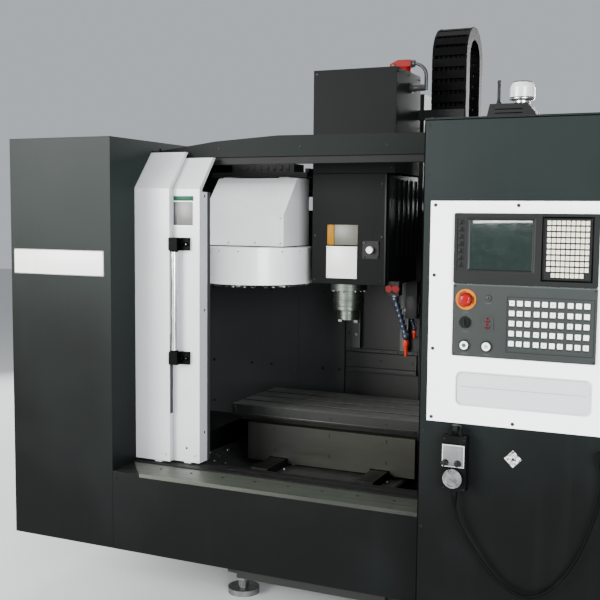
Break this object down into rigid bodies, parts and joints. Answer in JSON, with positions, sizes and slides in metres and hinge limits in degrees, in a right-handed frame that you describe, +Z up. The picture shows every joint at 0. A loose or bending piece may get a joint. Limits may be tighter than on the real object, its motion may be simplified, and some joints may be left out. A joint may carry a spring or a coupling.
{
  "type": "cnc machining center",
  "caption": "Vertical machining centre with sliding guard doors, cross table, spindle head, umbrella tool magazine and a standing control cabinet with a hand-wheel pendant.",
  "frame": {"origin": "on the floor under the centre of the box around the machine", "axes": "+X to the operator's right, +Y away from the operator, +Z up"},
  "size_m": [2.244, 2.108, 2.233],
  "materials": {
    "dark_paint": "fine textured dark grey-green coat",
    "cast_paint": "smooth grey-green coat on cast iron",
    "white_paint": "semi-gloss white coat",
    "white_plate": "plain plate",
    "stainless": "brushed",
    "machined_steel": "ground",
    "plated_steel": "zinc plated",
    "handle_metal": "satin anodised",
    "black_steel": "black coat",
    "black_plastic": "fine grained",
    "panel_plastic": "film keypad, slightly glossy",
    "rubber": "matt",
    "screen_glass": "dark switched-off display",
    "ivory_keys": "film keys",
    "white_keys": "moulded",
    "yellow_plastic": "moulded",
    "red_plastic": "moulded",
    "green_plastic": "moulded",
    "grey_plastic": "moulded"
  },
  "bodies": {
    "frame": {"base_casting": "cast_paint", "levelling_feet": "plated_steel", "column": "cast_paint", "column_rails": "machined_steel", "left_cabinet": "dark_paint", "nameplate": "white_plate", "apron": "dark_paint", "sill_plate": "stainless", "chip_tray": "dark_paint", "back_guard": "dark_paint", "right_guard": "dark_paint", "top_beam": "dark_paint", "door_tracks": "plated_steel", "magazine_arm": "black_steel", "control_cabinet": "dark_paint", "white_panel": "white_paint", "screen_unit": "black_plastic", "screen_glass": "screen_glass", "keypad_keys": "ivory_keys", "operator_panel": "panel_plastic", "square_keys": "white_keys", "estop_ring": "yellow_plastic", "pendant": "black_plastic", "pendant_cable": "rubber", "cable_gland": "plated_steel", "roof_unit": "black_steel", "rear_cabinet": "dark_paint"},
    "saddle": {"saddle": "cast_paint", "saddle_cover": "stainless"},
    "table": {"table": "machined_steel"},
    "head": {"head_casting": "cast_paint", "head_cover": "dark_paint", "head_side_guard": "black_steel", "head_plates": "white_plate", "spindle_housing": "machined_steel", "coolant_block": "plated_steel", "coolant_hoses": "black_plastic", "motor_connector": "red_plastic", "energy_chain": "black_plastic"},
    "spindle": {"spindle": "machined_steel"},
    "release_button": {"clamp_button": "white_keys"},
    "valve_handle": {"coolant_valve": "red_plastic"},
    "magazine": {"magazine_housing": "white_paint", "magazine_cover": "white_paint"},
    "disc": {"tool_disc": "plated_steel", "tool_grippers": "black_steel"},
    "rear_leaf": {"door_rear_leaf": "white_paint"},
    "front_leaf": {"door_front_leaf": "white_paint", "door_handle": "handle_metal", "door_plate": "white_plate", "door_seal": "rubber"},
    "emergency_stop": {"estop_button": "red_plastic"},
    "key_switch": {"key_switch": "black_plastic"},
    "start_button": {"start_button": "green_plastic"},
    "stop_button": {"stop_button": "grey_plastic"},
    "selector_a": {"pendant_selector_a": "black_plastic"},
    "selector_b": {"pendant_selector_b": "black_plastic"},
    "hand_wheel": {"pendant_wheel": "handle_metal"},
    "rear_door": {"rear_cabinet_door": "dark_paint"},
    "latch": {"cabinet_latch": "black_steel"}
  },
  "joints": [
    {"name": "saddle_y", "type": "slide", "parent": "frame", "child": "saddle", "axis": [0, 1, 0], "range_m": [-0.17, 0.17]},
    {"name": "table_x", "type": "slide", "parent": "saddle", "child": "table", "axis": [1, 0, 0], "range_m": [-0.325, 0.325]},
    {"name": "head_z", "type": "slide", "parent": "frame", "child": "head", "axis": [0, 0, 1], "range_m": [-0.2, 0.265], "deforming": ["energy_chain"]},
    {"name": "spindle_spin", "type": "hinge", "parent": "head", "child": "spindle", "pos_m": [-0.025, -0.145, 1.1], "axis": [0, 0, 1], "continuous": true},
    {"name": "release_press", "type": "slide", "parent": "head", "child": "release_button", "axis": [0, 1, 0], "range_m": [0, 0.003], "stiffness_N_per_m": 600, "springref_m": -0.002},
    {"name": "valve_turn", "type": "hinge", "parent": "head", "child": "valve_handle", "pos_m": [0.183, -0.21, 1.203], "axis": [0, 1, 0], "range_deg": [0, 90]},
    {"name": "magazine_x", "type": "slide", "parent": "frame", "child": "magazine", "axis": [1, 0, 0], "range_m": [0, 0.04]},
    {"name": "disc_spin", "type": "hinge", "parent": "magazine", "child": "disc", "pos_m": [-0.433, -0.145, 1.23], "axis": [0, 0, 1], "continuous": true},
    {"name": "front_leaf_x", "type": "slide", "parent": "frame", "child": "front_leaf", "axis": [1, 0, 0], "range_m": [0, 0.928]},
    {"name": "rear_leaf_x", "type": "slide", "parent": "frame", "child": "rear_leaf", "axis": [1, 0, 0], "range_m": [0, 0.435]},
    {"name": "estop_press", "type": "slide", "parent": "frame", "child": "emergency_stop", "axis": [0, 1, 0], "range_m": [0, 0.0035]},
    {"name": "key_turn", "type": "hinge", "parent": "frame", "child": "key_switch", "pos_m": [0.662, -0.99, 1.178], "axis": [0, 1, 0], "range_deg": [-45, 45]},
    {"name": "start_press", "type": "slide", "parent": "frame", "child": "start_button", "axis": [0, 1, 0], "range_m": [0, 0.003], "stiffness_N_per_m": 400, "springref_m": -0.002},
    {"name": "stop_press", "type": "slide", "parent": "frame", "child": "stop_button", "axis": [0, 1, 0], "range_m": [0, 0.003], "stiffness_N_per_m": 400, "springref_m": -0.002},
    {"name": "selector_a_turn", "type": "hinge", "parent": "frame", "child": "selector_a", "pos_m": [0.624, -1.035, 0.774], "axis": [0, 1, 0], "range_deg": [-90, 90]},
    {"name": "selector_b_turn", "type": "hinge", "parent": "frame", "child": "selector_b", "pos_m": [0.661, -1.035, 0.774], "axis": [0, 1, 0], "range_deg": [-90, 90]},
    {"name": "wheel_spin", "type": "hinge", "parent": "frame", "child": "hand_wheel", "pos_m": [0.648, -1.035, 0.731], "axis": [0, 1, 0], "continuous": true},
    {"name": "rear_door_swing", "type": "hinge", "parent": "frame", "child": "rear_door", "pos_m": [-0.351, 1.031, 1.23], "axis": [0, 0, 1], "range_deg": [0, 110]},
    {"name": "latch_turn", "type": "hinge", "parent": "rear_door", "child": "latch", "pos_m": [0.245, 1.04, 1.235], "axis": [0, 1, 0], "range_deg": [0, 90]}
  ],
  "couplings": [
    {"joint": "rear_leaf_x", "follows": "front_leaf_x", "ratio": 0.46875}
  ]
}
